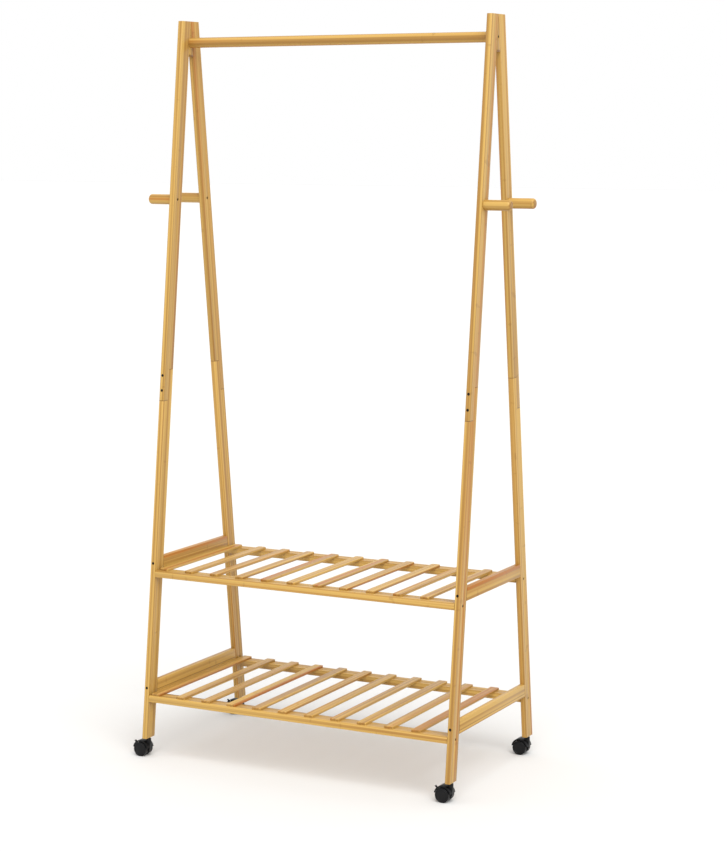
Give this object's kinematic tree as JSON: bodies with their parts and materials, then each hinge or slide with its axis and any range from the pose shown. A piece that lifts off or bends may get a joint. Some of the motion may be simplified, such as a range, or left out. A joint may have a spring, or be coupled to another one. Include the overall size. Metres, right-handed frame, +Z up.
{
  "type": "rolling clothes rack",
  "caption": "Bamboo clothes rack: two A-frames joined by a hanging rail and two slatted shelves, with coat pegs and swivel castors.",
  "frame": {"origin": "on the floor, midway between the four castors", "axes": "+Z up; +X along the hanging rail, to the right of a user at the front; -Y towards that user"},
  "size_m": [0.865, 0.429, 1.6],
  "materials": {
    "bamboo": "satin lacquer over laminated bamboo",
    "black_screw": "black oxide",
    "plated_steel": "zinc plate",
    "black_nylon": "moulded, slightly glossy"
  },
  "bodies": {
    "frame": {"left_front_leg_upper": "bamboo", "left_front_leg_lower": "bamboo", "left_rear_leg_upper": "bamboo", "left_rear_leg_lower": "bamboo", "right_front_leg_upper": "bamboo", "right_front_leg_lower": "bamboo", "right_rear_leg_upper": "bamboo", "right_rear_leg_lower": "bamboo", "left_apex_block": "bamboo", "right_apex_block": "bamboo", "hanging_rail": "bamboo", "left_front_peg": "bamboo", "left_rear_peg": "bamboo", "right_front_peg": "bamboo", "right_rear_peg": "bamboo", "upper_front_rail": "bamboo", "upper_rear_rail": "bamboo", "upper_slats": "bamboo", "upper_left_board": "bamboo", "upper_right_board": "bamboo", "lower_front_rail": "bamboo", "lower_rear_rail": "bamboo", "lower_slats": "bamboo", "lower_left_board": "bamboo", "lower_right_board": "bamboo", "rail_screws": "black_screw", "peg_screws": "black_screw", "lap_screws": "black_screw", "shelf_screws": "black_screw", "board_screws": "black_screw", "upper_brads": "plated_steel", "lower_brads": "plated_steel", "castor_sockets": "plated_steel", "left_front_castor_stem": "black_screw", "left_rear_castor_stem": "black_screw", "right_front_castor_stem": "black_screw", "right_rear_castor_stem": "black_screw"},
    "left_front_castor": {"left_front_castor_housing": "black_nylon", "left_front_castor_axle": "plated_steel"},
    "left_front_castor_front_wheel": {"left_front_castor_front_wheel": "black_nylon"},
    "left_front_castor_rear_wheel": {"left_front_castor_rear_wheel": "black_nylon"},
    "left_front_castor_brake": {"left_front_castor_brake": "black_nylon"},
    "left_rear_castor": {"left_rear_castor_housing": "black_nylon", "left_rear_castor_axle": "plated_steel"},
    "left_rear_castor_front_wheel": {"left_rear_castor_front_wheel": "black_nylon"},
    "left_rear_castor_rear_wheel": {"left_rear_castor_rear_wheel": "black_nylon"},
    "left_rear_castor_brake": {"left_rear_castor_brake": "black_nylon"},
    "right_front_castor": {"right_front_castor_housing": "black_nylon", "right_front_castor_axle": "plated_steel"},
    "right_front_castor_front_wheel": {"right_front_castor_front_wheel": "black_nylon"},
    "right_front_castor_rear_wheel": {"right_front_castor_rear_wheel": "black_nylon"},
    "right_front_castor_brake": {"right_front_castor_brake": "black_nylon"},
    "right_rear_castor": {"right_rear_castor_housing": "black_nylon", "right_rear_castor_axle": "plated_steel"},
    "right_rear_castor_front_wheel": {"right_rear_castor_front_wheel": "black_nylon"},
    "right_rear_castor_rear_wheel": {"right_rear_castor_rear_wheel": "black_nylon"}
  },
  "joints": [
    {"name": "left_front_castor_swivel", "type": "hinge", "parent": "frame", "child": "left_front_castor", "pos_m": [-0.3675, -0.19735, 0.036], "axis": [0, 0, 1], "continuous": true},
    {"name": "left_front_front_wheel_spin", "type": "hinge", "parent": "left_front_castor", "child": "left_front_castor_front_wheel", "pos_m": [-0.381, -0.20775, 0.0155], "axis": [0, 1, 0], "continuous": true},
    {"name": "left_front_rear_wheel_spin", "type": "hinge", "parent": "left_front_castor", "child": "left_front_castor_rear_wheel", "pos_m": [-0.381, -0.18695, 0.0155], "axis": [0, 1, 0], "continuous": true},
    {"name": "left_front_brake_press", "type": "hinge", "parent": "left_front_castor", "child": "left_front_castor_brake", "pos_m": [-0.386, -0.19735, 0.0265], "axis": [0, -1, 0], "range_deg": [0, 8]},
    {"name": "left_rear_castor_swivel", "type": "hinge", "parent": "frame", "child": "left_rear_castor", "pos_m": [-0.3675, 0.19735, 0.036], "axis": [0, 0, 1], "continuous": true},
    {"name": "left_rear_front_wheel_spin", "type": "hinge", "parent": "left_rear_castor", "child": "left_rear_castor_front_wheel", "pos_m": [-0.381, 0.18695, 0.0155], "axis": [0, 1, 0], "continuous": true},
    {"name": "left_rear_rear_wheel_spin", "type": "hinge", "parent": "left_rear_castor", "child": "left_rear_castor_rear_wheel", "pos_m": [-0.381, 0.20775, 0.0155], "axis": [0, 1, 0], "continuous": true},
    {"name": "left_rear_brake_press", "type": "hinge", "parent": "left_rear_castor", "child": "left_rear_castor_brake", "pos_m": [-0.386, 0.19735, 0.0265], "axis": [0, -1, 0], "range_deg": [0, 8]},
    {"name": "right_front_castor_swivel", "type": "hinge", "parent": "frame", "child": "right_front_castor", "pos_m": [0.3675, -0.19735, 0.036], "axis": [0, 0, 1], "continuous": true},
    {"name": "right_front_front_wheel_spin", "type": "hinge", "parent": "right_front_castor", "child": "right_front_castor_front_wheel", "pos_m": [0.354, -0.20775, 0.0155], "axis": [0, 1, 0], "continuous": true},
    {"name": "right_front_rear_wheel_spin", "type": "hinge", "parent": "right_front_castor", "child": "right_front_castor_rear_wheel", "pos_m": [0.354, -0.18695, 0.0155], "axis": [0, 1, 0], "continuous": true},
    {"name": "right_front_brake_press", "type": "hinge", "parent": "right_front_castor", "child": "right_front_castor_brake", "pos_m": [0.349, -0.19735, 0.0265], "axis": [0, -1, 0], "range_deg": [0, 8]},
    {"name": "right_rear_castor_swivel", "type": "hinge", "parent": "frame", "child": "right_rear_castor", "pos_m": [0.3675, 0.19735, 0.036], "axis": [0, 0, 1], "continuous": true},
    {"name": "right_rear_front_wheel_spin", "type": "hinge", "parent": "right_rear_castor", "child": "right_rear_castor_front_wheel", "pos_m": [0.354, 0.18695, 0.0155], "axis": [0, 1, 0], "continuous": true},
    {"name": "right_rear_rear_wheel_spin", "type": "hinge", "parent": "right_rear_castor", "child": "right_rear_castor_rear_wheel", "pos_m": [0.354, 0.20775, 0.0155], "axis": [0, 1, 0], "continuous": true}
  ]
}
